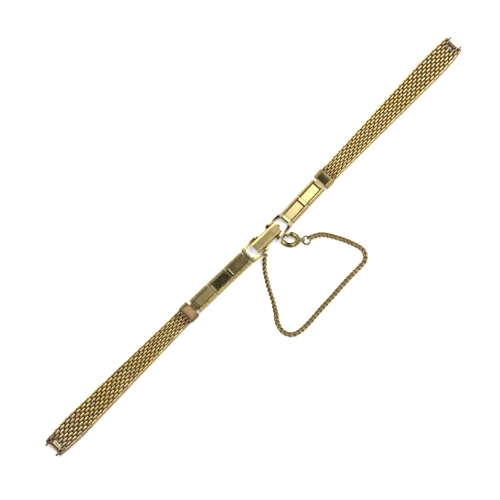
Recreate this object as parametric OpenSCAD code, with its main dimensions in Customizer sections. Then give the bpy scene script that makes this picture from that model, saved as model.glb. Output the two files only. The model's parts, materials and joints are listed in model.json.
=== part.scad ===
// Ladies' mesh watch band: two tapered mesh straps, channel links, a flip-lever clasp and a safety chain.
// The lever's hinge pin stands over the origin, +X runs along the clasp and +Z is the worn face.

/* [Band] */
// Height of every hinge pin of the band above the table
axis_z = 0.9; // [0.85:0.01:0.95]
// Small sideways angle of the left strap, as it lies
left_strap_yaw = 1.5; // [-2:0.1:2]
// Small sideways angle of the right links, as they lie
right_links_yaw = 3.5; // [-3.5:0.1:3.5]
// Small sideways angle of the right strap against its links
right_strap_yaw = -1; // [-2:0.1:2]

/* [Mesh] */
// Distance between neighbouring rows of grains
row_pitch = 0.912; // [0.9:0.002:0.95]
// Number of lanes of grains across the strap
lanes = 9; // [9]
// Rows of grains in the left strap
left_rows = 52; // [50:2:58]
// Rows of grains in the right strap
right_rows = 54; // [50:2:58]
// Rows in each flexing piece of a strap
piece_rows = 5; // [5]
// Length of one grain
grain_l = 1.56; // [1.5:0.01:1.6]
// Thickness of the mesh
mesh_t = 1.3; // [1.2:0.05:1.3]
// Width of the mesh at its end cap
cap_end_w = 4.3; // [4:0.1:4.4]
// Full width of the mesh
full_w = 6.3; // [5.8:0.1:6.8]
// Length over which the strap widens
taper_l = 38.5; // [30:0.5:40]
// Width over the prongs at the strap's end
tip_w = 4.1; // [3.9:0.1:4.6]
// Length of the rounding towards the prongs
tip_round_l = 9; // [7:0.5:12]
// Rows that make the two prongs
prong_rows = 3; // [3]
// Radius of the cross wires
wire_r = 0.14; // [0.12:0.01:0.15]

/* [Links] */
// Pin to pin length of a link
link_pitch = 6.05; // [5.8:0.05:6.6]
// Width over a link's rails
link_w = 4.2; // [4.1:0.05:4.4]
// Height of a link's rails
rail_h = 1.7; // [1.6:0.05:1.8]
// Width of a link's centre plate
plate_w = 2.2; // [2:0.05:2.3]
// Thickness of a link's centre plate
plate_t = 0.42; // [0.35:0.01:0.45]
// Gap between the rails of neighbouring links
rail_gap = 0.44; // [0.4:0.02:0.6]
// Radius of the link pins
pin_r = 0.2; // [0.17:0.01:0.22]
// Outer radius of the rolled barrels
barrel_r = 0.4; // [0.38:0.01:0.42]
// Length of an end cap's body
cap_l = 2.45; // [2.3:0.05:3]
// Width of an end cap
cap_w = 4.8; // [4.8:0.05:5.2]

/* [Clasp] */
// Lever pin to left link pin
left_reach = 4.33; // [4.2:0.05:5]
// Lever pin to right link pin
right_reach = 9; // [8.9:0.05:9.6]
// Lever pin to catch pin
catch_x = 4.85; // [4.7:0.05:5]
// Height of the lever and catch pins
clasp_z = 1.05; // [1:0.01:1.08]
// Width over the clasp's arms
clasp_w = 4.7; // [4.6:0.05:5]
// Thickness of a clasp arm
arm_t = 0.5; // [0.4:0.05:0.55]
// Width of the lever
lever_w = 3.2; // [3:0.05:3.25]
// Lever's length left of its pin
lever_tail = 2; // [1.8:0.05:2.1]
// Lever's length right of its pin
lever_nose = 6.15; // [6:0.05:6.3]
// Height of the lever's top face
lever_top = 2.35; // [2.3:0.05:2.5]
// Wall of the lever
lever_wall = 0.3; // [0.25:0.01:0.32]

/* [Strap hooks] */
// Inner radius of a strap hook
hook_r = 0.45; // [0.4:0.01:0.5]
// Wall of a strap hook
hook_wall = 0.22; // [0.18:0.01:0.24]
// Width of a strap hook
hook_w = 2.2; // [2:0.05:2.2]
// Distance from the wire a strap hook turns on to the watch's bar
hook_reach = 1.36; // [1.3:0.01:1.45]

/* [Safety chain] */
// Pitch of the chain's links
chain_pitch = 1.12; // [1.1:0.01:1.2]
// Radius of the chain's wire
chain_wire_r = 0.14; // [0.14:0.01:0.16]
// Width over a chain link
chain_w = 1.3; // [1.25:0.01:1.4]
// Mean radius of the spring ring
ring_r = 1.97; // [1.9:0.01:2.05]
// Radius of the spring ring's tube
tube_r = 0.65; // [0.6:0.01:0.68]
// Mean radius of the chain's end ring
end_ring_r = 1.05; // [1:0.01:1.1]
// Radius of the end ring's wire
end_wire_r = 0.26; // [0.22:0.01:0.28]
// Mean radius of the chain's first ring
first_ring_r = 0.42; // [0.4:0.01:0.46]
// Radius of the first ring's wire
first_wire_r = 0.14; // [0.12:0.01:0.15]

/* [Fits] */
// Gap round a cross wire in a grain
wire_fit = 0.04; // [0.03:0.01:0.06]
// Gap between neighbouring lanes of grains
lane_fit = 0.06; // [0.05:0.01:0.08]
// Gap between the long grains along the strap's edges
edge_fit = 0.06; // [0.06:0.01:0.1]
// Gap round a pin in a rolled barrel
barrel_fit = 0.09; // [0.08:0.01:0.1]
// Gap round the lever's pin
lever_fit = 0.04; // [0.02:0.01:0.08]
// Gap round a pin in the rails that hold it
seat_fit = 0.01; // [0.01:0.005:0.02]
// Gap between a tongue and the walls beside it
side_fit = 0.05; // [0.04:0.01:0.08]

/* [Hidden] */
$fn = 48;
eps = 0.01;
gold = [0.86, 0.74, 0.42];
bright_gold = [0.93, 0.85, 0.58];
worn_gold = [0.74, 0.62, 0.34];

// Links: a tongue's barrel turns on a pin that the next piece's rails hold
rail_inset = 0.38;
tongue_l = rail_gap + rail_inset;
cap_gap = 0.88;
cap_tongue_l = cap_gap + rail_inset;
rail_in = plate_w / 2 + side_fit;
rail_z0 = 0.1;
plate_z0 = axis_z;
web_z0 = rail_z0 + 0.35;
barrel_gap = 0.07;

// End caps
cap_wall = 0.2;
cap_flange_r = 0.5;
cap_top = axis_z + mesh_t / 2 + 0.3;
cap_pocket_l = 0.95;
tongue_root_r = 0.3;

// Mesh rows, counted from the end cap
first_row_s = 0.2 * row_pitch;
wire_s = row_pitch / 2;
half_lanes = (lanes - 1) / 2;
grain_corner_r = 0.45;
corner_flats = 2;
notch_w = hook_w + 0.2;
strap_pieces = 10;

// Clasp
arm_out = clasp_w / 2;
arm_in = arm_out - arm_t;
boss_r = 0.62;
bridge_t = 0.3;
bridge_x = [-0.2, 1];
catch_bridge_x = [catch_x - 0.65, catch_x + 0.55];
lug_wall = 0.22;

// Safety chain: the rings' places and the route of the chain on the table, chosen by hand
lay_turn = 44.4;
spring_ring_at = [6.05, -4.6, 1.72];
spring_ring_tilt = -31;
eye_angle = 115;
mouth_from = 90;
mouth_to = 200;
bolt_wire_r = 0.25;
tube_bore_r = 0.42;
bolt_back = 236;
bolt_travel = 58;
spring_back = 330;
end_ring_at = [8.95, -7.5, 1.35];
end_ring_tilt = 20;
first_ring_at = [-1.05, -2.98, 0.75];
chain_route = [
    [11.4, -8.05, 0.75], [13.4, -9.4, 0.5], [15.5, -12.8, 0.48], [16.9, -16, 0.48], [17.6, -18.6, 0.48],
    [17.3, -20.1, 0.48], [16.3, -21.2, 0.48], [14.8, -21.6, 0.48], [9, -21.8, 0.48], [4.1, -22.2, 0.48],
    [-0.8, -22.5, 0.48], [-5.6, -22.9, 0.48], [-8.6, -22.8, 0.48], [-10.7, -21.9, 0.48],
    [-11.6, -19.8, 0.48], [-11, -17.4, 0.48], [-9.7, -15.6, 0.48], [-7.9, -12.7, 0.48], [-5.8, -8.7, 0.48],
    [-3.9, -5.7, 0.5], [-2.2, -3.85, 0.65]
];
chain_fit = 0.06;
link_sections = 10;
link_twist_h = 0.34;
link_sides = 5;
route_steps = 6;

// Shapes drawn in a side view or in a cross-section

// Extrudes a side view, drawn as X and Z, to a width centred on Y = 0
module across(width) {
    translate([0, width / 2, 0]) rotate([90, 0, 0]) linear_extrude(width) children();
}

// Extrudes a cross-section, drawn as Y and Z, from x0 to x1
module along(x0, x1) {
    translate([x0, 0, 0]) rotate([90, 0, 90]) linear_extrude(x1 - x0) children();
}

// A pin or bore along Y through x, z
module cross_rod(r, length, x = 0, z = 0) {
    translate([x, length / 2, z]) rotate([90, 0, 0]) cylinder(h = length, r = r);
}

module both_sides() {
    children();
    mirror([0, 1, 0]) children();
}

module ring(r, wire) {
    rotate_extrude() translate([r, 0]) circle(wire);
}

// Points of a quadratic curve from a to c, pulled towards b
function bow(a, b, c, n = 6) = [
    for (i = [0:n]) let (t = i / n) (1 - t) * (1 - t) * a + 2 * t * (1 - t) * b + t * t * c
];

// Places along the band; in each, the pin is at the origin and +X points to the clasp

module at_left(pin) {
    translate([-left_reach - pin * link_pitch, 0, 0]) children();
}

module at_right(pin) {
    translate([right_reach, 0, 0]) rotate([0, 0, 180 + right_links_yaw])
        translate([-pin * link_pitch, 0, 0]) children();
}

module at_cap_left() {
    at_left(3) rotate([0, 0, left_strap_yaw]) children();
}

module at_cap_right() {
    at_right(2) rotate([0, 0, right_strap_yaw]) children();
}

// In a strap's place, +X runs from its end cap to its prongs
module at_strap_left() {
    at_cap_left() translate([-cap_tongue_l - cap_l, 0, 0]) rotate([0, 0, 180]) children();
}

module at_strap_right() {
    at_cap_right() translate([-cap_tongue_l - cap_l, 0, 0]) rotate([0, 0, 180]) children();
}

// Channel links

// The tongue that reaches over the gap and rolls round the next piece's pin
module tongue(reach, width) {
    across(width) difference() {
        union() {
            translate([0, axis_z]) circle(barrel_r);
            translate([-reach, axis_z]) square([reach + 0.1, plate_t - 0.04]);
        }
        translate([0, axis_z]) circle(pin_r + barrel_fit);
    }
}

module rail_section() {
    top = rail_z0 + rail_h;
    polygon([
        [rail_in, rail_z0], [link_w / 2 - 0.1, rail_z0], [link_w / 2, rail_z0 + 0.1],
        [link_w / 2, top - 0.6], [link_w / 2 - 0.3, top], [link_w / 2 - 0.58, top], [rail_in, top - 0.36]
    ]);
}

module link_rails() {
    back = -link_pitch - rail_inset;
    color(gold) difference() {
        union() {
            both_sides() along(back, -tongue_l) rail_section();
            translate([-link_pitch + barrel_r + barrel_gap, -rail_in - eps, web_z0])
                cube([link_pitch - barrel_r - barrel_gap - tongue_l, 2 * (rail_in + eps), plate_z0 - web_z0]);
        }
        cross_rod(pin_r + seat_fit, link_w + 1, -link_pitch, axis_z);
    }
}

module link_plate() {
    start = -link_pitch + barrel_r + barrel_gap;
    color(bright_gold) union() {
        tongue(tongue_l, plate_w);
        translate([start, -plate_w / 2, plate_z0]) cube([-start - tongue_l, plate_w, plate_t]);
    }
}

// A rivet pin with domed ends, flush with the rails that hold it
module rivet(r, length) {
    dome = 0.08;
    color(worn_gold) translate([0, length / 2, axis_z]) rotate([90, 0, 0]) rotate_extrude() polygon([
        [0, 0], [r - dome, 0], [r, dome], [r, length - dome], [r - dome, length], [0, length]
    ]);
}

// End caps

module cap_section() {
    top = cap_top - 0.12;
    union() {
        translate([-cap_w / 2, 0]) square([cap_w, top]);
        for (side = [-1, 1]) {
            translate([side * (cap_w / 2 - cap_flange_r), top - cap_flange_r + 0.14]) circle(cap_flange_r);
        }
    }
}

module end_cap() {
    mesh_z0 = axis_z - mesh_t / 2;
    front = -cap_tongue_l;
    back = front - cap_l;
    color(gold) difference() {
        union() {
            along(back, front) cap_section();
            tongue(cap_tongue_l + 0.2, plate_w);
            // the plate draws in to its tongue in two hollow curves
            translate([front, 0, axis_z]) linear_extrude(plate_t - 0.04) both_sides() difference() {
                translate([-0.1, plate_w / 2 - 0.1]) square([0.1 + tongue_root_r, 0.1 + tongue_root_r]);
                translate([tongue_root_r, plate_w / 2 + tongue_root_r]) circle(tongue_root_r);
            }
        }
        // between the flanges the plate slopes down to its tongue
        across(cap_w - 4 * cap_flange_r) polygon([
            [back + cap_pocket_l + 0.1, cap_top - 0.12], [front, axis_z + plate_t - 0.04],
            [front + 0.1, axis_z + plate_t - 0.04], [front + 0.1, 3], [back + cap_pocket_l + 0.1, 3]
        ]);
        // pocket that grips the mesh
        translate([back - eps, -cap_w / 2 + cap_wall, mesh_z0 - 0.05])
            cube([cap_pocket_l + eps, cap_w - 2 * cap_wall, mesh_t + 0.1]);
        // hollow underside, as a folded sheet leaves it
        translate([back + cap_pocket_l + 0.25, -cap_w / 2 + 0.45, -eps])
            cube([cap_l - cap_pocket_l - 0.5, cap_w - 0.9, 0.5]);
    }
}

// Mesh straps: even rows are grains fused on two cross wires, odd rows are grains that turn on them

function row_s(k) = first_row_s + k * row_pitch;
function strap_l(rows) = row_s(rows - 1) + grain_l / 2;
function taper_w(s) = cap_end_w + (full_w - cap_end_w) * min(1, max(0, s / taper_l));
function round_w(s, rows) = let (left = strap_l(rows) - s)
    left > tip_round_l ? full_w :
    tip_w + (full_w - tip_w) * sqrt(1 - pow(1 - left / tip_round_l, 2));
function strap_w(s, rows) = min(taper_w(s), round_w(s, rows));
function in_prongs(k, rows) = k >= rows - prong_rows;
function lane_pitch(k, rows) = let (w = strap_w(row_s(k), rows))
    in_prongs(k, rows) ? (w - notch_w) / (lanes - 3) : w / lanes;
function lane_y(k, lane, rows) = in_prongs(k, rows) ?
    sign(lane) * (notch_w / 2 + (abs(lane) - 1.5) * lane_pitch(k, rows)) :
    lane * lane_pitch(k, rows);
function row_lanes(k, rows) = [
    for (lane = [-half_lanes:half_lanes])
        if (abs(lane + k) % 2 == 0 && (!in_prongs(k, rows) || abs(lane) > 1)) lane
];

// The outermost grains are longer, so that the edges run nearly smooth
function grain_length(k, lane, rows) =
    abs(lane) == half_lanes && k > 0 && !in_prongs(k, rows) ? 2 * row_pitch - edge_fit : grain_l;

// Side view of a grain, whose corners are rounded in short flats
function grain_side(length) = [
    for (corner = [0:3], step = [0:corner_flats])
        let (a = 90 * (corner + step / corner_flats), x = length / 2 - grain_corner_r, z = mesh_t / 2 + 0.03 - grain_corner_r)
        [(corner == 0 || corner == 3 ? x : -x) + grain_corner_r * cos(a), (corner < 2 ? z : -z) + grain_corner_r * sin(a)]
];

module grain(width, length) {
    r = width / 2;
    intersection() {
        across(width + 0.2) polygon(grain_side(length));
        along(-length, length) union() {
            square([width, mesh_t - 2 * r], center = true);
            for (z = [-1, 1]) translate([0, z * (mesh_t / 2 - r)]) circle(r);
        }
    }
}

// The cross wires of a wired row, cut short inside the outer grains, and apart in the prongs
module row_wires(k, rows) {
    out = lane_y(k, half_lanes, rows);
    inner = lane_y(k, 2, rows);
    for (x = [-wire_s, wire_s]) {
        if (in_prongs(k, rows)) {
            for (side = [-1, 1]) {
                translate([0, side * (out + inner) / 2, 0]) cross_rod(wire_r, out - inner, x);
            }
        } else {
            cross_rod(wire_r, 2 * out, x);
        }
    }
}

// Every other row carries the wires; a row between turns freely on the wires it shares with a neighbouring piece
module mesh_row(k, rows, loose_on) {
    width = lane_pitch(k, rows) - lane_fit;
    translate([row_s(k), 0, axis_z]) {
        for (lane = row_lanes(k, rows)) translate([0, lane_y(k, lane, rows), 0])
            if (k % 2 == 1 && len(loose_on) > 0) {
                difference() {
                    grain(width, grain_l);
                    for (x = loose_on) cross_rod(wire_r + wire_fit, 1, x);
                }
            } else {
                grain(width, grain_length(k, lane, rows));
            }
        if (k % 2 == 0) row_wires(k, rows);
    }
}

// Rows of one flexing piece; the last piece takes the rows that are left
module mesh_piece(piece, rows) {
    first = (piece - 1) * piece_rows;
    last = piece == strap_pieces ? rows - 1 : piece * piece_rows - 1;
    color(piece % 2 == 0 ? gold : worn_gold) union() {
        for (k = [first:last])
            mesh_row(k, rows, [if (k == first && k > 0) -wire_s, if (k == last && k < rows - 1) wire_s]);
    }
}

// Strap hooks: two eyes on the last full wire carry a strip that curls over the watch's bar

module strap_hook(rows) {
    last_full = rows - 1 - prong_rows;
    wire_x = row_s(last_full) + wire_s;
    outer = hook_r + hook_wall;
    curl_x = wire_x + hook_reach;
    eye_y = lane_pitch(last_full, rows);
    eye_w = 0.4;
    eye_r = 0.38;
    color(bright_gold) translate([0, 0, axis_z]) difference() {
        union() {
            // the curl, open below and towards the strap
            translate([curl_x, 0, 0]) across(hook_w) difference() {
                circle(outer);
                circle(hook_r);
                translate([-2 * outer, -2 * outer]) square([2 * outer - 0.12, 2 * outer + hook_r * 0.7]);
            }
            for (side = [-1, 1]) translate([0, side * eye_y, 0]) across(eye_w) union() {
                translate([wire_x, 0]) circle(eye_r);
                polygon([
                    [wire_x, -0.1], [wire_x + 0.1, eye_r - 0.05], [curl_x - 0.3, outer - 0.08],
                    [curl_x, outer - 0.05], [curl_x, hook_r + 0.03], [curl_x - hook_r * 0.75, hook_r * 0.78],
                    [wire_x + eye_r, -0.1]
                ]);
            }
        }
        cross_rod(wire_r + wire_fit, 4, wire_x);
    }
}

// Clasp

// Plan of the +Y arm from the link pin at x = 0 to its free end at x = reach
module arm_plan(reach) {
    linear_extrude(4) polygon(concat(
        [[-rail_inset, rail_in]],
        bow([0.5, rail_in], [0.6, rail_in + 0.45], [2, arm_in]),
        [[reach, arm_in], [reach, arm_out - 0.12], [reach - 0.12, arm_out]],
        bow([2.4, arm_out], [0.8, arm_out], [-rail_inset + 0.1, link_w / 2 + 0.02]),
        [[-rail_inset, link_w / 2 - 0.08]]
    ));
}

// Side view of an arm from its link pin to the boss round a clasp pin
module arm_side(reach, boss) {
    translate([boss, clasp_z]) circle(boss_r);
    polygon(concat(
        [[-rail_inset, 0.1], [-rail_inset, 1.55], [-rail_inset + 0.15, 1.75]],
        bow([0.6, 1.75], [boss - 1.6, 1.3], [boss, clasp_z + boss_r], 5),
        [[reach - 0.15, clasp_z + boss_r - 0.1], [reach, clasp_z + 0.3], [reach, 0.3], [reach - 0.2, 0.1]]
    ));
}

module clasp_arm(reach, boss) {
    intersection() {
        arm_plan(reach);
        across(8) arm_side(reach, boss);
    }
}

// A lug on an arm's outer face, with its hole along X
module lug(x, y, z, hole_r, width) {
    translate([x - width / 2, y, z]) rotate([0, 90, 0]) difference() {
        cylinder(h = width, r = hole_r + lug_wall);
        translate([0, 0, -1]) cylinder(h = width + 2, r = hole_r);
    }
}

first_lug_x = first_ring_at[0];
first_lug_y = first_ring_at[1] + first_ring_r;
first_lug_r = first_wire_r + 0.12;
eye_at = spring_ring_at + ring_r * (cos(eye_angle) * [cos(lay_turn), -sin(lay_turn), 0]
    + sin(eye_angle) * [sin(lay_turn) * cos(spring_ring_tilt), cos(lay_turn) * cos(spring_ring_tilt),
                        sin(spring_ring_tilt)]);
eye_hole_r = bolt_wire_r + 0.28;

module frame_left() {
    reach = left_reach + bridge_x[1];
    color(gold) difference() {
        union() {
            translate([-left_reach, 0, 0]) both_sides() clasp_arm(reach, left_reach);
            translate([bridge_x[0], -arm_in - 0.1, 0])
                cube([bridge_x[1] - bridge_x[0], 2 * arm_in + 0.2, bridge_t]);
            lug(first_lug_x, first_lug_y, first_ring_at[2], first_lug_r, 0.4);
        }
        cross_rod(pin_r + seat_fit, 6, -left_reach, axis_z);
        cross_rod(pin_r + seat_fit, 6, 0, clasp_z);
    }
}

module frame_right() {
    boss = right_reach - catch_x;
    color(gold) difference() {
        union() {
            translate([right_reach, 0, 0]) rotate([0, 0, 180]) both_sides() clasp_arm(boss + 0.95, boss);
            translate([catch_bridge_x[0], -arm_in - 0.1, 0])
                cube([catch_bridge_x[1] - catch_bridge_x[0], 2 * arm_in + 0.2, bridge_t]);
            lug(eye_at[0], eye_at[1], eye_at[2], eye_hole_r, 0.45);
        }
        cross_rod(pin_r + seat_fit, 6, right_reach, axis_z);
        cross_rod(pin_r + seat_fit, 6, catch_x, clasp_z);
    }
}

// Half of the lever's outer section: raised flat crest, sloping flank, bevel and side wall
function lever_half(w, top, foot) = [
    [w, foot], [w, top - 0.66], [w - 0.24, top - 0.36], [w * 0.47 + 0.06, top - 0.12], [w * 0.47, top]
];

module lever_section(w, top, foot) {
    half = lever_half(w, top, foot);
    polygon(concat(half, [for (i = [len(half) - 1:-1:0]) [-half[i][0], half[i][1]]]));
}

// Side view of the lever: long top, side walls low round the pin and high over the catch pin
module lever_side() {
    translate([0, clasp_z]) circle(boss_r - 0.04);
    polygon([
        [-lever_tail, 1.6], [-lever_tail, 3], [lever_nose, 3], [lever_nose, 1.5], [lever_nose - 0.2, 1.42],
        [catch_x - 0.9, 1.42], [catch_x - 1.15, 0.75], [0.5, 0.75], [-0.6, 1.2], [-0.9, 1.6]
    ]);
}

module lever_cover() {
    w = lever_w / 2;
    nose_r = 0.5;
    color(bright_gold) difference() {
        union() {
            intersection() {
                difference() {
                    along(-lever_tail, lever_nose) lever_section(w, lever_top, 0.3);
                    along(-lever_tail - 1, lever_nose + 1)
                        lever_section(w - lever_wall, lever_top - lever_wall, 0);
                }
                across(6) lever_side();
            }
            // finger tongue
            translate([lever_nose - 0.3, 0, lever_top - lever_wall]) linear_extrude(lever_wall - 0.02) union() {
                translate([0.45, 0]) circle(nose_r);
                translate([0, -nose_r]) square([0.45, 2 * nose_r]);
            }
        }
        cross_rod(pin_r + lever_fit, 6, 0, clasp_z);
    }
}

// Sprung catch inside the lever, which snaps over the catch pin
module lever_catch() {
    top = lever_top - lever_wall;
    gap = pin_r + 0.07;
    leg = 0.24;
    foot = clasp_z - pin_r - 0.25;
    color(worn_gold) across(2 * (lever_w / 2 - lever_wall) * 0.36) translate([catch_x, 0]) union() {
        translate([-1.3, top - 0.22]) square([2.3, 0.22]);
        for (side = [0, 1]) mirror([side, 0]) polygon([
            [gap, top - 0.2], [gap + leg, top - 0.2], [gap + leg, foot], [gap, foot],
            [gap - 0.1, foot + 0.12], [gap, foot + 0.24]
        ]);
    }
}

module clasp_pin(x) {
    translate([x, 0, clasp_z - axis_z]) rivet(pin_r, clasp_w);
}

// Safety chain

function catmull(a, b, c, d, t) = 0.5 * (2 * b + t * (c - a) + t * t * (2 * a - 5 * b + 4 * c - d)
    + t * t * t * (3 * b - a - 3 * c + d));
function unit(v) = v / norm(v);

// The chain's far point on the end ring and on the first ring
end_ring_out = unit([cos(-3), sin(-3), 0]);
function ring_point(centre, r, drop, out) = centre + r * [out[0], out[1], -drop];
route_from = ring_point(end_ring_at, end_ring_r, 0.3, end_ring_out);
route_to = first_ring_at + first_ring_r * unit([-0.8, -0.6, 0]);
route = concat([route_from], chain_route, [route_to]);
route_last = len(route) - 1;
fine_route = [
    for (i = [0:route_last - 1], j = [0:route_steps - 1])
        catmull(route[max(0, i - 1)], route[i], route[i + 1], route[min(route_last, i + 2)], j / route_steps),
    route[route_last]
];
fine_last = len(fine_route) - 1;
step_l = [for (i = [0:fine_last - 1]) norm(fine_route[i + 1] - fine_route[i])];
route_sum = [for (i = 0, s = 0; i <= fine_last; s = s + (i < fine_last ? step_l[i] : 0), i = i + 1) s];
route_l = route_sum[fine_last];

link_l = (chain_pitch + 2 * chain_wire_r + chain_fit) / 2;
end_inset = link_l - chain_wire_r - end_wire_r - chain_fit;
first_inset = link_l - chain_wire_r - first_wire_r - chain_fit;
link_count = round((route_l - end_inset - first_inset) / chain_pitch) + 1;
real_pitch = (route_l - end_inset - first_inset) / (link_count - 1);

function route_at(s) = let (i = min(fine_last - 1, max([0, for (n = [0:fine_last]) if (route_sum[n] <= s) n])))
    fine_route[i] + (s - route_sum[i]) / step_l[i] * (fine_route[i + 1] - fine_route[i]);
function link_at(k) = route_at(end_inset + k * real_pitch);
function link_along(k) = let (s = end_inset + k * real_pitch, d = chain_pitch / 2)
    unit(route_at(min(route_l, s + d)) - route_at(max(0, s - d)));

// A curb link: an oval ring of wire, twisted so that each end crosses its neighbour's
module curb_link(centre, forward) {
    w = chain_w / 2 - chain_wire_r;
    side = unit(cross([0, 0, 1], forward));
    up = cross(forward, side);
    spine = [
        for (i = [0:link_sections - 1]) let (t = 360 * i / link_sections)
            link_l * cos(t) * forward + w * sin(t) * side + link_twist_h * sin(2 * t) * up
    ];
    points = [
        for (i = [0:link_sections - 1])
            let (
                before = spine[(i + link_sections - 1) % link_sections],
                after = spine[(i + 1) % link_sections],
                tangent = unit(after - before),
                out = unit(spine[i] - (spine[i] * tangent) * tangent),
                bound = cross(tangent, out)
            )
            for (j = [0:link_sides - 1]) let (a = 360 * j / link_sides)
                centre + spine[i] + chain_wire_r * (cos(a) * out + sin(a) * bound)
    ];
    faces = [
        for (i = [0:link_sections - 1], j = [0:link_sides - 1])
            let (
                a = i * link_sides + j,
                b = i * link_sides + (j + 1) % link_sides,
                c = ((i + 1) % link_sections) * link_sides + (j + 1) % link_sides,
                d = ((i + 1) % link_sections) * link_sides + j
            )
            each [[a, b, c], [a, c, d]]
    ];
    polyhedron(points, faces);
}

// The chain folds where its route crosses this line
fold_y = -16.1;
half_count = floor(link_count / 2);
lower_end = max([for (k = [0:half_count]) if (link_at(k)[1] > fold_y) k]);
upper_start = min([for (k = [half_count:link_count - 1]) if (link_at(k)[1] > fold_y) k]);

module chain_links(from, to) {
    color(worn_gold) for (k = [from:to]) curb_link(link_at(k), link_along(k));
}

module at_spring_ring() {
    translate(spring_ring_at) rotate([0, 0, -lay_turn]) rotate([spring_ring_tilt, 0, 0]) children();
}

// An arc of the spring ring's centre line, from one angle to another
module ring_arc(from, to) {
    rotate([0, 0, from]) rotate_extrude(angle = to - from) translate([ring_r, 0]) children();
}

tab_hole_x = ring_r + tube_r + 0.5;
tab_hole_r = end_wire_r + 0.17;

module spring_ring_case() {
    tab_t = 0.36;
    color(gold) at_spring_ring() difference() {
        union() {
            difference() {
                ring_arc(mouth_to, mouth_from + 360) circle(tube_r);
                ring_arc(mouth_to - 1, spring_back) circle(tube_bore_r);
                ring_arc(mouth_from + 345, mouth_from + 361) circle(tube_bore_r);
            }
            // tab for the end ring, with its hole across the ring
            translate([tab_hole_x, 0, 0]) cross_rod(tab_hole_r + lug_wall, tab_t);
            translate([ring_r + tube_r - 0.15, -tab_t / 2, -0.3]) cube([0.35, tab_t, 0.6]);
        }
        cross_rod(tab_hole_r, 2, tab_hole_x);
        // slot for the bolt's thumb nib
        ring_arc(bolt_back - 14, bolt_back + bolt_travel) translate([-0.19, 0]) square([0.38, 1]);
    }
}

module spring_ring_bolt() {
    color(bright_gold) at_spring_ring() union() {
        ring_arc(mouth_from - 7, mouth_to + 3) circle(bolt_wire_r);
        ring_arc(mouth_to + 2, bolt_back) circle(tube_bore_r - 0.05);
        rotate([0, 0, bolt_back - 7]) translate([ring_r, 0, 0.2]) cylinder(h = tube_r - 0.02, r = 0.14);
    }
}

// Coil that pushes the bolt shut, wound along the ring's centre line
module spring_ring_spring() {
    coil_r = 0.27;
    coil_wire = 0.06;
    turns = 12;
    rings = 8;
    sides = 4;
    from = bolt_back + 2;
    to = spring_back - 2;
    count = turns * rings;
    spine = [
        for (i = [0:count]) let (a = from + (to - from) * i / count, b = 360 * i / rings)
            [(ring_r + coil_r * cos(b)) * cos(a), (ring_r + coil_r * cos(b)) * sin(a), coil_r * sin(b)]
    ];
    points = [
        for (i = [0:count])
            let (
                tangent = unit(spine[min(count, i + 1)] - spine[max(0, i - 1)]),
                a = from + (to - from) * i / count,
                out = unit(spine[i] - ring_r * [cos(a), sin(a), 0]),
                bound = unit(cross(tangent, out))
            )
            for (j = [0:sides - 1]) spine[i] + coil_wire * (cos(90 * j) * out + sin(90 * j) * bound)
    ];
    body = [
        for (i = [0:count - 1], j = [0:sides - 1])
            let (a = i * sides + j, b = i * sides + (j + 1) % sides)
            each [[a, b, b + sides], [a, b + sides, a + sides]]
    ];
    ends = [[3, 2, 1, 0], [for (j = [0:sides - 1]) count * sides + j]];
    color(bright_gold) at_spring_ring() polyhedron(points, concat(body, ends));
}

module chain_end_ring() {
    color(gold) translate(end_ring_at) rotate([0, 0, -lay_turn]) rotate([0, end_ring_tilt, 0])
        ring(end_ring_r, end_wire_r);
}

module chain_first_ring() {
    color(gold) translate(first_ring_at) ring(first_ring_r, first_wire_r);
}

frame_left();
frame_right();
lever_cover();
lever_catch();
clasp_pin(0);  // lever_pin
clasp_pin(catch_x);  // catch_pin
at_left(0) link_rails();  // link_rails_l1
at_left(1) link_rails();  // link_rails_l2
at_left(2) link_rails();  // link_rails_l3
at_right(0) link_rails();  // link_rails_r1
at_right(1) link_rails();  // link_rails_r2
at_left(0) link_plate();  // link_plate_l1
at_left(1) link_plate();  // link_plate_l2
at_left(2) link_plate();  // link_plate_l3
at_right(0) link_plate();  // link_plate_r1
at_right(1) link_plate();  // link_plate_r2
at_left(0) rivet(pin_r, link_w);  // link_pin_l1
at_left(1) rivet(pin_r, link_w);  // link_pin_l2
at_left(2) rivet(pin_r, link_w);  // link_pin_l3
at_left(3) rivet(pin_r, link_w);  // cap_pin_l
translate([right_reach, 0, 0]) rivet(pin_r, link_w);  // link_pin_r1
at_right(1) rivet(pin_r, link_w);  // link_pin_r2
at_right(2) rivet(pin_r, link_w);  // cap_pin_r
at_cap_left() end_cap();  // end_cap_left
at_cap_right() end_cap();  // end_cap_right
at_strap_left() strap_hook(left_rows);  // strap_hook_left
at_strap_right() strap_hook(right_rows);  // strap_hook_right
for (n = [1:strap_pieces]) {
    digits = n < 10 ? str("0", n) : str(n);
    at_strap_left() mesh_piece(n, left_rows);
    at_strap_right() mesh_piece(n, right_rows);
}
chain_first_ring();
chain_links(upper_start, link_count - 1);  // chain_upper
chain_links(lower_end + 1, upper_start - 1);  // chain_middle
chain_links(0, lower_end);  // chain_lower
chain_end_ring();
spring_ring_case();
spring_ring_bolt();
spring_ring_spring();
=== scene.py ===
"""Looks of a ladies' mesh watch band: woven mesh, channel links, lever clasp and curb safety chain."""

import json
import math

import bmesh
import bpy
import numpy as np
from mathutils import Matrix, Vector


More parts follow.
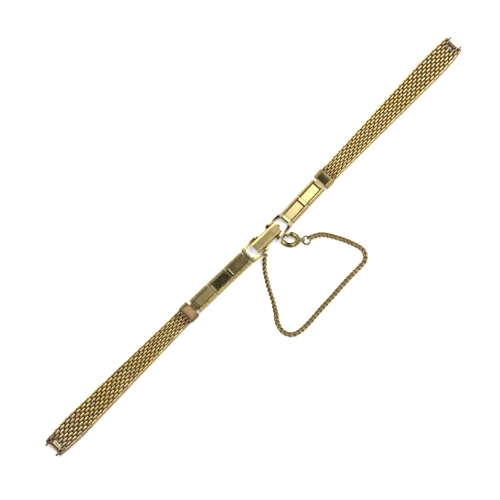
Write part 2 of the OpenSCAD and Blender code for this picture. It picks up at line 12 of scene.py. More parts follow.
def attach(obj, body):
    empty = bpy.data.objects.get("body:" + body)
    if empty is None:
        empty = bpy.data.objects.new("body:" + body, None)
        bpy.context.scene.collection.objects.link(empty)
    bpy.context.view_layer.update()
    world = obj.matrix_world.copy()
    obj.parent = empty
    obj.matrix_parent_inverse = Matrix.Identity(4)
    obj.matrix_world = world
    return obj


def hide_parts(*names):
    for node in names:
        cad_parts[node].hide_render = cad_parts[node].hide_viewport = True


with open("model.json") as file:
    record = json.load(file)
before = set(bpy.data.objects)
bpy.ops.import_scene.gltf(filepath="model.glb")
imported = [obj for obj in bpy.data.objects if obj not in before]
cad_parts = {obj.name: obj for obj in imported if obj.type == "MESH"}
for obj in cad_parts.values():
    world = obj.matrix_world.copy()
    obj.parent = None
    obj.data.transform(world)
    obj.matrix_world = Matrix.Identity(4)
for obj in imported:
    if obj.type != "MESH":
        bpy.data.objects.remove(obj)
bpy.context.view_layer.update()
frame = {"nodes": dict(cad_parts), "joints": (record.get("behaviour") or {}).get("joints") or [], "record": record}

MM = 0.001
BODY_OF = {node: body for body, nodes in frame["record"]["behaviour"]["bodies"].items() for node in nodes}
SLOT_OF = {piece["node"]: piece["material_slot"] for piece in frame["record"]["subparts"]}
JOINT = {joint["name"]: joint for joint in frame["joints"]}


# Shader maths


class Wire:
    """A value inside a finish's node tree. Arithmetic on it adds Math nodes."""

    def __init__(self, finish, socket):
        self.finish, self.socket = finish, socket

    def maths(self, operation, *values):
        return self.finish.node("Math", {"operation": operation}, dict(enumerate(values)))

    def __add__(self, other):
        return self.maths("ADD", self, other)

    def __sub__(self, other):
        return self.maths("SUBTRACT", self, other)

    def __rsub__(self, other):
        return self.maths("SUBTRACT", other, self)

    def __mul__(self, other):
        return self.maths("MULTIPLY", self, other)

    __radd__, __rmul__ = __add__, __mul__

    def rising(self, low, high):
        """0 below low, 1 above high, smooth between."""
        smooth = {"interpolation_type": "SMOOTHSTEP"}
        return self.finish.node("MapRange", smooth, {0: self, 1: low, 2: high})


class Finish:
    """The nodes of one material or world. Each of them comes from node()."""

    def __init__(self, owner):
        self.owner = owner
        owner.use_nodes = True
        self.tree = owner.node_tree
        self.tree.nodes.clear()

    def node(self, kind, settings=None, sockets=None, out=0):
        made = self.tree.nodes.new("ShaderNode" + kind)
        for key, value in (settings or {}).items():
            setattr(made, key, value)
        for key, value in (sockets or {}).items():
            if isinstance(value, Wire):
                self.tree.links.new(value.socket, made.inputs[key])
            else:
                made.inputs[key].default_value = value
        return Wire(self, made.outputs[out]) if made.outputs else None

    def mix(self, amount, first, second):
        ends = [(*end, 1) if isinstance(end, tuple) else end for end in (first, second)]
        return self.node("Mix", {"data_type": "RGBA"}, {0: amount, 6: ends[0], 7: ends[1]}, out=2)

    def noise(self, grain_mm, detail=3, stretch=(1, 1, 1)):
        """Noise whose lumps are about grain_mm across, drawn out along an axis by stretch."""
        place = self.node("TexCoord", out="Object")
        scale = tuple(1 / (grain_mm * MM * s) for s in stretch)
        place = self.node("Mapping", sockets={"Vector": place, "Scale": scale})
        return self.node("TexNoise", sockets={"Vector": place, "Scale": 1, "Detail": detail}, out="Fac")

    def attribute(self, name):
        return self.node("Attribute", {"attribute_name": name}, out="Fac")

    def bump(self, height, depth_mm, strength=1):
        sockets = {"Strength": strength, "Distance": depth_mm * MM, "Height": height}
        return self.node("Bump", sockets=sockets)

    def metal(self, **sockets):
        """Gold stays gold at its edges, and dirt on it hardly shines."""
        return self.surface(Specular_Tint=(1, 0.84, 0.5, 1), Specular_IOR_Level=0.15, **sockets)

    def surface(self, **sockets):
        sockets = {key.replace("_", " "): value for key, value in sockets.items()}
        shader = self.node("BsdfPrincipled", sockets=sockets)
        self.node("OutputMaterial", sockets={"Surface": shader})
        return self.owner


# Finishes

# the first colour is near-black: painted shade in the weave's core, and dark specks on the pins
OXIDE_AND_HOLE_SHADE, BROWN = (0.035, 0.015, 0.005), (0.11, 0.055, 0.028)


def plated(name, tone, worn, dull, roughness, streak=(1, 1, 1), scratches=0.5, patches=0.4):
    """Gold plate: slow colour drift, pale worn patches, dull specks and hairline scratches.

    The attributes satin and age make a piece duller and browner.
    """
    f = Finish(bpy.data.materials.new(name))
    satin = f.attribute("satin")
    drift = f.noise(6, detail=2).rising(0.35, 0.65)
    rubbed = f.noise(1.4, detail=4).rising(0.5, 0.72) * patches
    specks = f.noise(0.22, detail=3).rising(0.6, 0.75)
    hairlines = f.noise(0.05, detail=2, stretch=streak)
    colour = f.mix(drift * 0.6, tone, worn)
    colour = f.mix(rubbed, colour, worn)
    colour = f.mix(specks * 0.25, colour, dull)
    colour = f.mix(f.attribute("age"), colour, BROWN)
    rough = roughness + satin * 0.3 + rubbed * 0.12 + specks * 0.08 + hairlines * 0.08 * scratches
    bumps = f.bump(hairlines * scratches + f.noise(1.6, detail=1) * 0.5, 0.003, 0.5)
    return f.metal(Base_Color=colour, Metallic=1.0, Roughness=rough, Normal=bumps)


def woven(name, tone, worn, oxide_and_shade, silver):
    """Mesh wire: cream crests, a painted highlight along with real wear; brown patina and painted shade on the
    sides of each turn; a near-black painted shade on the core; tarnishing by the ends, with painted shade over the
    left strap; and silvery wear.
    """
    f = Finish(bpy.data.materials.new(name))
    crest = f.attribute("crest")
    tarnish = f.attribute("tarnish")
    rubbed = f.attribute("rubbed")
    patches = f.noise(2.6, detail=3).rising(0.38, 0.66)
    fine = f.noise(0.16, detail=3)
    colour = f.mix(patches * 0.6, tone, worn)
    colour = f.mix(rubbed * 0.75, colour, silver)
    # painted highlight together with real wear: cream on the top of each turn
    colour = f.mix(crest.rising(0.85, 1) * 0.6, colour, worn)
    # tarnishing by the ends, plus painted shade over the left strap and on the core
    dirt_and_shade = tarnish * (0.45 + patches * 0.5)
    # brown patina and painted shade on the sides of each turn, away from its top
    brown = (1 - crest.rising(0.62, 0.98)) * 0.9
    colour = f.mix(brown, colour, oxide_and_shade)
    colour = f.mix(dirt_and_shade, colour, BROWN)
    # painted shade: near-black on the core (crest -1), half of it on the cross wires (crest -0.5)
    colour = f.mix((0 - crest).rising(0, 1), colour, OXIDE_AND_HOLE_SHADE)
    rough = 0.16 + fine * 0.08 + dirt_and_shade * 0.2 + brown * 0.3
    bumps = f.bump(fine, 0.01, 0.5)
    return f.metal(Base_Color=colour, Metallic=1 - brown * 0.8, Roughness=rough, Normal=bumps)


def chain_wire(name, tone, worn, oxide_and_shade):
    """Chain wire: gold on top, brown patina and painted shade on the low and inner sides."""
    f = Finish(bpy.data.materials.new(name))
    crest = f.attribute("crest")
    patches = f.noise(1.8, detail=3).rising(0.4, 0.65)
    fine = f.noise(0.14, detail=3)
    colour = f.mix(patches * 0.6, tone, worn)
    # brown patina and painted shade on the low and inner sides of each link
    brown = (1 - crest.rising(0.35, 0.85)) * 0.9
    colour = f.mix(brown, colour, oxide_and_shade)
    rough = 0.24 + fine * 0.12 + brown * 0.25
    bumps = f.bump(fine, 0.01, 0.5)
    return f.metal(Base_Color=colour, Metallic=1 - brown * 0.7, Roughness=rough, Normal=bumps)


def spring_stock(name):
    """Drawn steel wire with faint lines along it."""
    f = Finish(bpy.data.materials.new(name))
    drawn = f.noise(0.06, detail=2, stretch=(12, 1, 1))
    colour = f.mix(drawn, (0.42, 0.4, 0.36), (0.62, 0.59, 0.53))
    bumps = f.bump(drawn, 0.005, 0.5)
    return f.surface(Base_Color=colour, Metallic=1.0, Roughness=0.3 + drawn * 0.15, Normal=bumps)


def light_table(name):
    """White opal sheet, lit from below so that shadows on it stay weak."""
    f = Finish(bpy.data.materials.new(name))
    tooth = f.noise(0.6, detail=2)
    colour = f.mix(tooth, (0.9, 0.9, 0.9), (0.93, 0.93, 0.93))
    return f.surface(Base_Color=colour, Roughness=0.75, Emission_Color=(1, 1, 1, 1), Emission_Strength=0.45,
                     Normal=f.bump(tooth, 0.01, 0.2))


GOLD, CREAM, OLIVE = (0.44, 0.34, 0.11), (0.6, 0.52, 0.27), (0.16, 0.115, 0.035)
# the mesh's rusty brown stands for patina and for painted shade on the sides of each turn
SILVER, RUST_AND_SIDE_SHADE, WORN = (0.5, 0.47, 0.37), (0.3, 0.14, 0.015), (0.38, 0.32, 0.155)
FINISHES = {
    "mesh_gold": woven("mesh_gold", GOLD, CREAM, RUST_AND_SIDE_SHADE, SILVER),
    "rail_gold": plated("rail_gold", (0.27, 0.215, 0.08), WORN, OLIVE, 0.14, streak=(14, 1, 1)),
    "plate_gold": plated("plate_gold", (0.27, 0.22, 0.095), WORN, OLIVE, 0.07, streak=(18, 1, 1),
                         scratches=0.35, patches=0.12),
    "lever_gold": plated("lever_gold", (0.23, 0.185, 0.075), WORN, OLIVE, 0.16, streak=(16, 1, 1)),
    "pin_gold": plated("pin_gold", (0.3, 0.2, 0.07), GOLD, OXIDE_AND_HOLE_SHADE, 0.3, streak=(1, 10, 1)),
    "hook_gold": plated("hook_gold", (0.32, 0.26, 0.1), WORN, OLIVE, 0.25),
    "chain_gold": chain_wire("chain_gold", (0.32, 0.245, 0.085), (0.46, 0.38, 0.18), (0.15, 0.075, 0.02)),
    "ring_gold": plated("ring_gold", (0.19, 0.14, 0.043), (0.27, 0.215, 0.085), OLIVE, 0.17, patches=0.2),
    "spring_steel": spring_stock("spring_steel"),
}


# Making and placing pieces


def mark(mesh, **values):
    """Writes attributes that the finishes read, each from one value or from one a point."""
    for key, value in values.items():
        spread = np.full(len(mesh.vertices), value, np.float32)
        mesh.attributes.new(key, "FLOAT", "POINT").data.foreach_set("value", spread)


def add_piece(name, points, faces, **values):
    """A mesh object from points in millimetres, with the values that its finish reads."""
    mesh = bpy.data.meshes.new(name)
    mesh.from_pydata((np.asarray(points) * MM).tolist(), [], faces)
    mesh.validate()
    mark(mesh, **values)
    mesh.shade_smooth()
    piece = bpy.data.objects.new(name, mesh)
    bpy.context.collection.objects.link(piece)
    return piece


def stands_for(piece, node):
    """The piece rides where the CAD node rides, hides it and takes its slot's finish."""
    slot = SLOT_OF[node]
    piece.data.materials.clear()
    piece.data.materials.append(FINISHES[slot])
    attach(piece, BODY_OF[node])
    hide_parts(node)
    return piece


def unit(v):
    return v / np.linalg.norm(v)


def tube_faces(rings, sides, count):
    """The faces between one section of a tube and the next, out of count sections."""
    return [
        (i * sides + j, i * sides + (j + 1) % sides,
         ((i + 1) % count) * sides + (j + 1) % sides, ((i + 1) % count) * sides + j)
        for i in range(rings) for j in range(sides)
    ]


def tube_ends(count, sides):
    return [tuple(range(sides))[::-1], tuple((count - 1) * sides + j for j in range(sides))]


def swept(path, outs, sides, wide, thick, closed=True, power=2.0):
    """A tube along a path. outs gives the direction of its thickness at each point."""
    count = len(path)
    turn = 2 * np.pi * np.arange(sides) / sides
    across = np.sign(np.sin(turn)) * np.abs(np.sin(turn)) ** (2 / power)
    upward = np.sign(np.cos(turn)) * np.abs(np.cos(turn)) ** (2 / power)
    ahead = np.roll(path, -1, axis=0) - np.roll(path, 1, axis=0)
    if not closed:
        ahead[0], ahead[-1] = path[1] - path[0], path[-1] - path[-2]
    ahead /= np.linalg.norm(ahead, axis=1)[:, None]
    outs = outs - (outs * ahead).sum(1)[:, None] * ahead
    outs /= np.linalg.norm(outs, axis=1)[:, None]
    beside = np.cross(ahead, outs)
    wide, thick = np.broadcast_to(wide, count), np.broadcast_to(thick, count)
    points = (path[:, None] + beside[:, None] * (across * wide[:, None] / 2)[..., None]
              + outs[:, None] * (upward * thick[:, None] / 2)[..., None]).reshape(-1, 3)
    rings = count if closed else count - 1
    faces = tube_faces(rings, sides, count)
    if not closed:
        faces += tube_ends(count, sides)
    return points, faces


class Heap:
    """Gathers many small shells into one mesh."""

    def __init__(self):
        self.points, self.faces, self.values = [], [], {}
        self.count = 0

    def add(self, points, faces, **values):
        self.points.append(points)
        self.faces += [tuple(i + self.count for i in face) for face in faces]
        self.count += len(points)
        for key, value in values.items():
            self.values.setdefault(key, []).append(np.broadcast_to(value, len(points)))

    def piece(self, name):
        values = {key: np.concatenate(parts) for key, parts in self.values.items()}
        return add_piece(name, np.concatenate(self.points), self.faces, **values)


# The woven mesh straps, in the sizes of the CAD rows

ROW_PITCH, LANES, PIECE_ROWS, STRAP_PIECES = 0.912, 9, 5, 10
GRAIN_L, EDGE_GRAIN_L, MESH_T, CAP_END_W, FULL_W, TAPER_L = 1.56, 1.764, 1.3, 4.3, 6.3, 38.5
TIP_W, TIP_ROUND_L, PRONG_ROWS, NOTCH_W = 4.1, 9, 3, 2.4
FIRST_ROW_S, WIRE_S, AXIS_Z = 0.2 * ROW_PITCH, ROW_PITCH / 2, 0.9
ROWS = {"left": 52, "right": 54}
OUTERMOST = (LANES - 1) // 2


def row_s(k):
    return FIRST_ROW_S + k * ROW_PITCH


def strap_w(s, rows):
    left = row_s(rows - 1) + GRAIN_L / 2 - s
    taper = CAP_END_W + (FULL_W - CAP_END_W) * min(1, max(0, s / TAPER_L))
    if left > TIP_ROUND_L:
        return taper
    return min(taper, TIP_W + (FULL_W - TIP_W) * math.sqrt(1 - (1 - left / TIP_ROUND_L) ** 2))


def in_prongs(k, rows):
    return k >= rows - PRONG_ROWS


def lane_pitch(k, rows):
    w = strap_w(row_s(k), rows)
    return (w - NOTCH_W) / (LANES - 3) if in_prongs(k, rows) else w / LANES


def lane_y(k, lane, rows, ahead=0.0):
    """Where a lane lies at a row, or a little ahead of it."""
    w = strap_w(row_s(k) + ahead, rows)
    if in_prongs(k, rows):
        return math.copysign(NOTCH_W / 2 + (abs(lane) - 1.5) * (w - NOTCH_W) / (LANES - 3), lane)
    return lane * w / LANES


def lane_slope(k, lane, rows):
    return (lane_y(k, lane, rows, 0.4) - lane_y(k, lane, rows, -0.4)) / 0.8


def row_lanes(k, rows):
    return [lane for lane in range(-OUTERMOST, OUTERMOST + 1)
            if (lane + k) % 2 == 0 and (not in_prongs(k, rows) or abs(lane) > 1)]


def strap_place(side):
    """The strap's own frame: +X from its end cap to its prongs."""
    joint = JOINT[f"mesh_{side[0]}_flex_1"]
    y = unit(np.array(joint["axis"], float))
    x = np.cross(y, [0, 0, 1])
    at = np.array(joint["pos_m"], float) / MM - x * (row_s(PIECE_ROWS - 1) + WIRE_S) - [0, 0, AXIS_Z]
    return at, np.array([x, y, [0, 0, 1]])


GRAIN_SECTIONS, GRAIN_SIDES = 13, 14
END_BLUNT, INNER_BLUNT, EDGE_BLUNT = 3.2, 5, 14
INNER_FIT, EDGE_FIT, EDGE_LAP = 0.1, 0.04, 0.04
LEAN, LEAN_SPREAD, PLACE_SPREAD, HEIGHT_SPREAD, WEAR_SPREAD = 0.04, 0.01, 0.012, 0.01, 0.12
WEAR_SEED = {"left": 11, "right": 23}
END_ROWS = 2  # their turns are shorter and rounder than the others
# the last of these darkens the whole left strap as painted shade; the others are real tarnishing by the ends
CAP_TARNISH_L, TIP_TARNISH_L, LEFT_PAINTED_SHADE = 3.2, 3.4, 0.22
CORE_T, HOLE_CORE_T, HOLE_CORE_REACH, CORE_LAP = 0.5, 0.7, 0.16, 0.04
SHOWN_WIRE_W, WIRE_INSET = 0.28, 0.06


def grain(width, length, lean, blunt):
    """One turn of the weave: a bar with a round back, leaning a little, and squarer at its ends when blunt."""
    along = np.sin(np.linspace(-1, 1, GRAIN_SECTIONS) * math.pi / 2 * 0.985)
    turn = 2 * np.pi * (np.arange(GRAIN_SIDES) + 0.5) / GRAIN_SIDES
    half_w = width / 2 * (1 - np.abs(along) ** (3 * blunt)) ** (1 / 5)
    half_h = MESH_T / 2 * (1 - np.abs(along) ** blunt) ** (1 / blunt)
    x = length / 2 * along
    points = np.array([
        [x[i], half_w[i] * math.sin(a) + x[i] * lean,
         half_w[i] * math.cos(a) + math.copysign(max(0, half_h[i] - half_w[i]), math.cos(a))]
        for i in range(GRAIN_SECTIONS) for a in turn
    ])
    faces = tube_faces(GRAIN_SECTIONS - 1, GRAIN_SIDES, GRAIN_SECTIONS)
    faces += tube_ends(GRAIN_SECTIONS, GRAIN_SIDES)
    # crest is 1 on the top and bottom of the turn and 0 on its sides, less at its ends; the finish paints a
    # highlight where it is high and shade where it is low
    crest = np.array([abs(math.cos(a)) * (1 - 0.4 * abs(place) ** 10) for place in along for a in turn])
    return points, faces, crest


def turn_at(k, lane, rows, rng):
    """The turn at a row and lane, about its own middle. The edge's turns are worn bright outside too."""
    pitch, lean = lane_pitch(k, rows), lane_slope(k, lane, rows)
    edge = abs(lane) == OUTERMOST and k > 0
    if edge:
        length, blunt, fit = EDGE_GRAIN_L + EDGE_LAP, EDGE_BLUNT, EDGE_FIT
    else:
        widening = min(1, max(0, (row_s(k) - 12) / 24))
        length, blunt, fit = GRAIN_L + 0.14 - 0.08 * widening, INNER_BLUNT, INNER_FIT
        lean += rng.normal(LEAN, LEAN_SPREAD)
    if k >= rows - END_ROWS:
        length, blunt = EDGE_GRAIN_L if edge else GRAIN_L, END_BLUNT
    points, faces, crest = grain(pitch - fit, length, lean, blunt)
    if edge:
        outside = np.clip(np.sign(lane) * points[:, 1] / pitch * 3, 0, 1)
        crest = np.maximum(crest, 0.85 * outside)
    return points, faces, crest


def wear(side, s):
    """How tarnished and how rubbed the mesh is at s, from 0 to 1 or a little past. The left strap also gets
    painted shade all along, added to its tarnishing.
    """
    left = row_s(ROWS[side] - 1) - s
    tarnish = max(0, 1 - s / CAP_TARNISH_L) * 0.9 + max(0, 1 - left / TIP_TARNISH_L) * 0.9
    if side == "left":
        # painted shade: the left strap is darker all along
        return tarnish + LEFT_PAINTED_SHADE, max(0, (s - 31) / 15)
    return tarnish, 0.25 * max(0, (s - 25) / 20)


def add_turns(heap, place, side, k, rng):
    """A row's bright turns, each a little out of line and worn in its own way."""
    at, axes = place
    rows, s = ROWS[side], row_s(k)
    tarnish, rubbed = wear(side, s)
    for lane in row_lanes(k, rows):
        points, faces, crest = turn_at(k, lane, rows, rng)
        ahead, higher = rng.normal(0, PLACE_SPREAD), rng.normal(0, HEIGHT_SPREAD)
        middle = [s + ahead, lane_y(k, lane, rows), AXIS_Z + higher]
        own = float(np.clip(rng.normal(0, WEAR_SPREAD), -0.2, 0.3))
        heap.add(at + (points + middle) @ axes, faces, crest=crest,
                 tarnish=min(1, max(0, tarnish + own)), rubbed=min(1, max(0, rubbed + own)))


def upright(path, sides, wide, thick, power=2.0):
    """An open bar along a path, its thickness upright."""
    path = np.array(path)
    return swept(path, np.tile([0, 0, 1.0], (len(path), 1)), sides, wide, thick, closed=False, power=power)


def add_core(heap, place, k, rows):
    """The dark inside of the weave, a near-black painted shade: under each turn, and in the holes between two
    turns of a lane.
    """
    at, axes = place
    s, pitch = row_s(k), lane_pitch(k, rows)
    for lane in range(-OUTERMOST, OUTERMOST + 1):
        if in_prongs(k, rows) and abs(lane) < 2:
            continue
        under_turn = (lane + k) % 2 == 0
        if not under_turn and (k in (0, rows - 1) or abs(lane) == OUTERMOST):
            continue
        reach, thick = (GRAIN_L / 2, CORE_T) if under_turn else (HOLE_CORE_REACH, HOLE_CORE_T)
        if k >= rows - END_ROWS:
            reach = min(reach, GRAIN_L / 2 - 0.2)
        y, slope = lane_y(k, lane, rows), lane_slope(k, lane, rows)
        path = [[s + x, y + slope * x, AXIS_Z] for x in (-reach, reach)]
        points, faces = upright(path, 8, pitch + CORE_LAP, thick, power=5)
        # painted shade: the core takes the darkest colour
        heap.add(at + points @ axes, faces, crest=-1.0, tarnish=1.0, rubbed=0)


def add_wires(heap, place, k, rows):
    """A row's two cross wires, apart in the prongs."""
    at, axes = place
    s, inset = row_s(k), lane_pitch(k, rows) / 2 - WIRE_INSET
    outer, inner = lane_y(k, OUTERMOST, rows) + inset, lane_y(k, 2, rows) - inset
    stretches = [(-outer, -inner), (inner, outer)] if in_prongs(k, rows) else [(-outer, outer)]
    for x in (-WIRE_S, WIRE_S):
        for y0, y1 in stretches:
            path = [[s + x, y, AXIS_Z] for y in np.linspace(y0, y1, 3)]
            points, faces = upright(path, 10, SHOWN_WIRE_W, SHOWN_WIRE_W)
            # painted shade: the cross wires are half darkened
            heap.add(at + points @ axes, faces, crest=-0.5, tarnish=0.5, rubbed=0)


def mesh_strap(side):
    rows, place = ROWS[side], strap_place(side)
    rng = np.random.default_rng(WEAR_SEED[side])
    for number in range(1, STRAP_PIECES + 1):
        heap = Heap()
        last = rows if number == STRAP_PIECES else number * PIECE_ROWS
        for k in range((number - 1) * PIECE_ROWS, last):
            add_turns(heap, place, side, k, rng)
            add_core(heap, place, k, rows)
            if k % 2 == 0:
                add_wires(heap, place, k, rows)
        stands_for(heap.piece(f"woven_{side}_{number:02d}"), f"mesh_{side}_{number:02d}")


for strap_side in ROWS:
    mesh_strap(strap_side)


# The curb safety chain, along the same route as the CAD links

CHAIN_ROUTE = [
    (11.4, -8.05, 0.75), (13.4, -9.4, 0.5), (15.5, -12.8, 0.48), (16.9, -16, 0.48), (17.6, -18.6, 0.48),
    (17.3, -20.1, 0.48), (16.3, -21.2, 0.48), (14.8, -21.6, 0.48), (9, -21.8, 0.48), (4.1, -22.2, 0.48),
    (-0.8, -22.5, 0.48), (-5.6, -22.9, 0.48), (-8.6, -22.8, 0.48), (-10.7, -21.9, 0.48),
    (-11.6, -19.8, 0.48), (-11, -17.4, 0.48), (-9.7, -15.6, 0.48), (-7.9, -12.7, 0.48), (-5.8, -8.7, 0.48),
    (-3.9, -5.7, 0.5), (-2.2, -3.85, 0.65),
]
END_RING_AT, END_RING_R, END_WIRE_R = np.array([8.95, -7.5, 1.35]), 1.05, 0.26
FIRST_RING_AT, FIRST_RING_R, FIRST_WIRE_R = np.array([-1.05, -2.98, 0.75]), 0.42, 0.14
CHAIN_PITCH, CHAIN_W, CHAIN_WIRE_R, CHAIN_FIT, FOLD_Y = 1.12, 1.3, 0.14, 0.06, -16.1
TWIST_H, SHOWN_WIDE, SHOWN_THICK, ROUTE_STEPS = 0.34, 0.36, 0.6, 6
LINK_SECTIONS, LINK_SIDES = 32, 10
EDGE_ROLL, ROLL_FROM, ROLL_LINKS, ROLL_LIFT = math.radians(62), 3, 6, 0.17


def fine_route():
    away = math.radians(-3)
    start = END_RING_AT + END_RING_R * np.array([math.cos(away), math.sin(away), -0.3])
    stop = FIRST_RING_AT + FIRST_RING_R * unit(np.array([-0.8, -0.6, 0]))
    knots = np.vstack([start, CHAIN_ROUTE, stop])
    out = []
    for i in range(len(knots) - 1):
        a, b, c, d = (knots[min(max(n, 0), len(knots) - 1)] for n in (i - 1, i, i + 1, i + 2))
        for t in np.arange(ROUTE_STEPS) / ROUTE_STEPS:
            out.append(0.5 * (2 * b + t * (c - a) + t * t * (2 * a - 5 * b + 4 * c - d)
                              + t ** 3 * (3 * b - a - 3 * c + d)))
    return np.array(out + [knots[-1]])


ROUTE = fine_route()
ROUTE_SUM = np.concatenate([[0], np.cumsum(np.linalg.norm(np.diff(ROUTE, axis=0), axis=1))])
LINK_L = (CHAIN_PITCH + 2 * CHAIN_WIRE_R + CHAIN_FIT) / 2
END_INSET = LINK_L - CHAIN_WIRE_R - END_WIRE_R - CHAIN_FIT
FIRST_INSET = LINK_L - CHAIN_WIRE_R - FIRST_WIRE_R - CHAIN_FIT
LINK_COUNT = round((ROUTE_SUM[-1] - END_INSET - FIRST_INSET) / CHAIN_PITCH) + 1
REAL_PITCH = (ROUTE_SUM[-1] - END_INSET - FIRST_INSET) / (LINK_COUNT - 1)


def route_at(s):
    return np.array([np.interp(s, ROUTE_SUM, ROUTE[:, i]) for i in range(3)])


def link_at(k):
    return route_at(END_INSET + k * REAL_PITCH)


def link_along(k):
    s, half = END_INSET + k * REAL_PITCH, CHAIN_PITCH / 2
    return unit(route_at(min(ROUTE_SUM[-1], s + half)) - route_at(max(0, s - half)))


def curb_link(k):
    """An oval of wire, twisted so that its ends cross its neighbours'. The last links lie rolled on edge."""
    forward = link_along(k)
    side = unit(np.cross([0, 0, 1], forward))
    up = np.cross(forward, side)
    t = 2 * np.pi * np.arange(LINK_SECTIONS)[:, None] / LINK_SECTIONS
    width = CHAIN_W / 2 - SHOWN_THICK / 2 + 0.03
    roll = EDGE_ROLL * min(1, max(0, (k - UPPER_START + ROLL_FROM) / ROLL_LINKS))
    side, up = side * math.cos(roll) + up * math.sin(roll), up * math.cos(roll) - side * math.sin(roll)
    path = (LINK_L * np.cos(t) * forward + width * np.sin(t) * side
            + (TWIST_H - 0.03) * np.sin(2 * t) * up)
    points, faces = swept(path, path.copy(), LINK_SIDES, SHOWN_WIDE, SHOWN_THICK)
    # crest: high on the upper, outer wire and low on the under and inner sides, where the finish paints shade
    rise = (points @ up) / (TWIST_H + SHOWN_WIDE / 2)
    inner = np.maximum(0, -np.cos(2 * np.pi * np.arange(len(points)) / LINK_SIDES))
    crest = np.clip(0.5 + 0.5 * rise - 0.5 * inner, 0, 1)
    return points + link_at(k) + [0, 0, ROLL_LIFT * math.sin(roll)], faces, crest


def chain_stretch(name, node, first, last):
    heap = Heap()
    for k in range(first, last + 1):
        points, faces, crest = curb_link(k)
        heap.add(points, faces, crest=crest)
    stands_for(heap.piece(name), node)


LOWER_END = max(k for k in range(LINK_COUNT // 2 + 1) if link_at(k)[1] > FOLD_Y)
UPPER_START = min(k for k in range(LINK_COUNT // 2, LINK_COUNT) if link_at(k)[1] > FOLD_Y)
chain_stretch("curb_lower", "chain_lower", 0, LOWER_END)
chain_stretch("curb_middle", "chain_middle", LOWER_END + 1, UPPER_START - 1)
chain_stretch("curb_upper", "chain_upper", UPPER_START, LINK_COUNT - 1)


# Polished metalwork: each CAD solid with its edges rounded, as tumbling leaves them

EDGE_SEGMENTS, EDGE_ANGLE, SAME_POINT, FLAT_ANGLE = 3, math.radians(20), 0.0005, math.radians(0.6)


def softened(node, name, edge_mm, satin, age, longer):
    """The CAD solid with soft edges. Both its ends reach past it by longer, in mm, which narrows a seam."""
    mesh = bpy.data.meshes.new(name)
    shape = bmesh.new()
    shape.from_mesh(frame["nodes"][node].data)
    bmesh.ops.remove_doubles(shape, verts=shape.verts, dist=SAME_POINT * MM)
    bmesh.ops.dissolve_limit(shape, angle_limit=FLAT_ANGLE, verts=shape.verts, edges=shape.edges)
    bmesh.ops.triangulate(shape, faces=[face for face in shape.faces if len(face.verts) > 4])
    along = [vert.co.x for vert in shape.verts]
    middle, half = (max(along) + min(along)) / 2, (max(along) - min(along)) / 2
    for vert in shape.verts:
        past = (vert.co.x - middle) / half
        vert.co.x += math.copysign(longer * MM * abs(past) ** 6, past)
    shape.to_mesh(mesh)
    shape.free()
    for extra in [a.name for a in mesh.attributes if "normal" in a.name or a.name.startswith("sharp")]:
        mesh.attributes.remove(mesh.attributes[extra])
    piece = bpy.data.objects.new(name, mesh)
    bpy.context.collection.objects.link(piece)
    bevel = piece.modifiers.new("edges", "BEVEL")
    bevel.width, bevel.segments = edge_mm * MM, EDGE_SEGMENTS
    bevel.limit_method, bevel.angle_limit = "ANGLE", EDGE_ANGLE
    bevel.use_clamp_overlap = False
    bevel.harden_normals = True
    mesh.shade_smooth()
    mark(mesh, satin=satin, age=age)
    weigh = piece.modifiers.new("flats", "WEIGHTED_NORMAL")
    weigh.keep_sharp = True
    return stands_for(piece, node)


SOFTENED = {"frame_left": 0.07, "frame_right": 0.07, "lever_cover": 0.06, "lever_catch": 0.03,
            "end_cap_left": 0.05, "end_cap_right": 0.05, "strap_hook_left": 0.04, "strap_hook_right": 0.04,
            "spring_ring_case": 0.04, "spring_ring_bolt": 0.03}
for link in ("l1", "l2", "l3", "r1", "r2"):
    SOFTENED[f"link_rails_{link}"] = 0.06
    SOFTENED[f"link_plate_{link}"] = 0.04
for pin in ("lever_pin", "catch_pin", "link_pin_l1", "link_pin_l2", "link_pin_l3", "cap_pin_l",
            "link_pin_r1", "link_pin_r2", "cap_pin_r"):
    SOFTENED[pin] = 0.02
LIGHTLY_SATIN, LEFT_RAIL_REACH = 0.1, 0.09
SATIN = {"end_cap_left": 0.7, "end_cap_right": 0.5, "link_plate_l3": 0.8, "link_plate_l1": 0.25,
         "frame_left": 0.3}
AGE = {"strap_hook_right": 0.8, "strap_hook_left": 0.3, "end_cap_left": 0.72, "end_cap_right": 0.35,
       "link_plate_l3": 0.25, "link_plate_l1": 0.1, "link_plate_r1": 0.22, "link_plate_r2": 0.22,
       "link_rails_r1": 0.2, "link_rails_r2": 0.2, "frame_right": 0.15, "lever_cover": 0.15}
for solid, edge in SOFTENED.items():
    reach = LEFT_RAIL_REACH if solid.startswith("link_rails_l") else 0
    softened(solid, f"polished_{solid}", edge, SATIN.get(solid, LIGHTLY_SATIN), AGE.get(solid, 0), reach)


RING_SECTIONS, RING_SIDES = 64, 16


def wire_ring(name, node, centre, ring_r, wire_r, turns):
    """A round ring of wire; turns is the rotation from flat."""
    t = 2 * np.pi * np.arange(RING_SECTIONS) / RING_SECTIONS
    path = ring_r * np.stack([np.cos(t), np.sin(t), np.zeros(RING_SECTIONS)], 1)
    points, faces = swept(path, path.copy(), RING_SIDES, 2 * wire_r, 2 * wire_r)
    points = points @ np.array(turns.to_3x3().transposed()) + centre
    stands_for(add_piece(name, points, faces), node)


LAY_TURN = math.radians(44.4)
wire_ring("first_ring", "chain_first_ring", FIRST_RING_AT, FIRST_RING_R, FIRST_WIRE_R, Matrix.Identity(4))
wire_ring("end_ring", "chain_end_ring", END_RING_AT, END_RING_R, END_WIRE_R,
          Matrix.Rotation(-LAY_TURN, 4, "Z") @ Matrix.Rotation(math.radians(20), 4, "Y"))

for node, shown in frame["nodes"].items():
    if not shown.hide_render:
        shown.data.materials.clear()
        shown.data.materials.append(FINISHES[SLOT_OF[node]])


# Table, light and camera, set out in the photograph's own directions

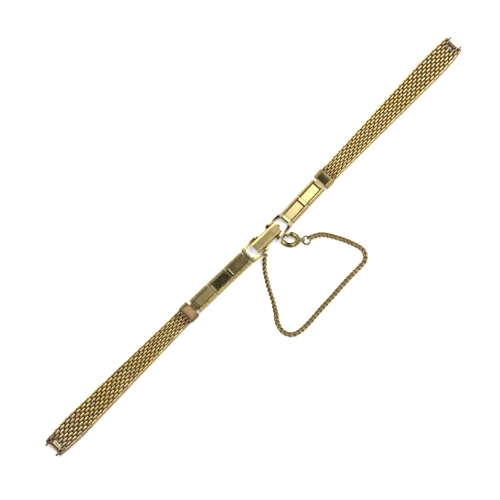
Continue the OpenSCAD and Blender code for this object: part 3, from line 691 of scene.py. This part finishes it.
RIGHT = Vector((math.cos(LAY_TURN), -math.sin(LAY_TURN), 0))
UP = Vector((math.sin(LAY_TURN), math.cos(LAY_TURN), 0))
AIM = Vector((-2.9, 0.7, 1)) * MM
VIEW_ELEVATION, LENS, IMAGE_W = math.radians(76), 150, 126 * MM
TABLE_HALF, TABLE_DROP = 3, 0.02 * MM


def from_aim(right, up, height):
    """A point at these distances from where the camera aims, in millimetres."""
    return AIM + (RIGHT * right + UP * up + Vector((0, 0, height))) * MM


def soft_box(name, right, up, height, size_mm, power):
    lamp = bpy.data.lights.new(name, "AREA")
    lamp.shape, lamp.size, lamp.energy = "SQUARE", size_mm * MM, power
    box = bpy.data.objects.new(name, lamp)
    box.location = from_aim(right, up, height)
    box.rotation_euler = (AIM - box.location).to_track_quat("-Z", "Y").to_euler()
    bpy.context.collection.objects.link(box)


floor_mesh = bpy.data.meshes.new("table")
corners = [(TABLE_HALF * x, TABLE_HALF * y, 0) for x, y in ((-1, -1), (1, -1), (1, 1), (-1, 1))]
floor_mesh.from_pydata(corners, [], [(0, 1, 2, 3)])
floor_mesh.materials.append(light_table("light_table"))
table = bpy.data.objects.new("table", floor_mesh)
table.location.z = -TABLE_DROP
bpy.context.collection.objects.link(table)

soft_box("top_right", 150, 165, 400, 260, 1.15)
soft_box("upper_left", -245, 265, 330, 220, 1.3)
soft_box("lower_right", 250, -200, 300, 160, 0.35)

# bright near the horizon, most of all at the upper left, and dark overhead
studio = Finish(bpy.data.worlds.new("studio"))
toward = studio.node("TexCoord", out="Generated")
overhead = studio.node("SeparateXYZ", sockets={0: toward}, out="Z").rising(0.3, 0.88)
upper_left = (UP - RIGHT).normalized()
aside = studio.node("VectorMath", {"operation": "DOT_PRODUCT"}, {0: toward, 1: upper_left}, out="Value")
glow = (1.6 - overhead * 1.53) * (0.5 + aside.rising(-0.8, 0.8) * 0.6)
studio.node("OutputWorld", sockets={"Surface": studio.node("Background", sockets={"Strength": glow})})
bpy.context.scene.world = studio.owner

bpy.context.scene.view_settings.view_transform = "Standard"

camera = bpy.data.objects.new("camera", bpy.data.cameras.new("camera"))
camera.data.lens = LENS
distance = IMAGE_W / 2 / (camera.data.sensor_width / 2 / LENS)
back = -UP * math.cos(VIEW_ELEVATION) + Vector((0, 0, math.sin(VIEW_ELEVATION)))
camera.location = AIM + back * distance
camera.rotation_euler = (-back).to_track_quat("-Z", "Y").to_euler()
camera.data.clip_start, camera.data.clip_end = 0.01, 10
bpy.context.collection.objects.link(camera)
bpy.context.scene.camera = camera
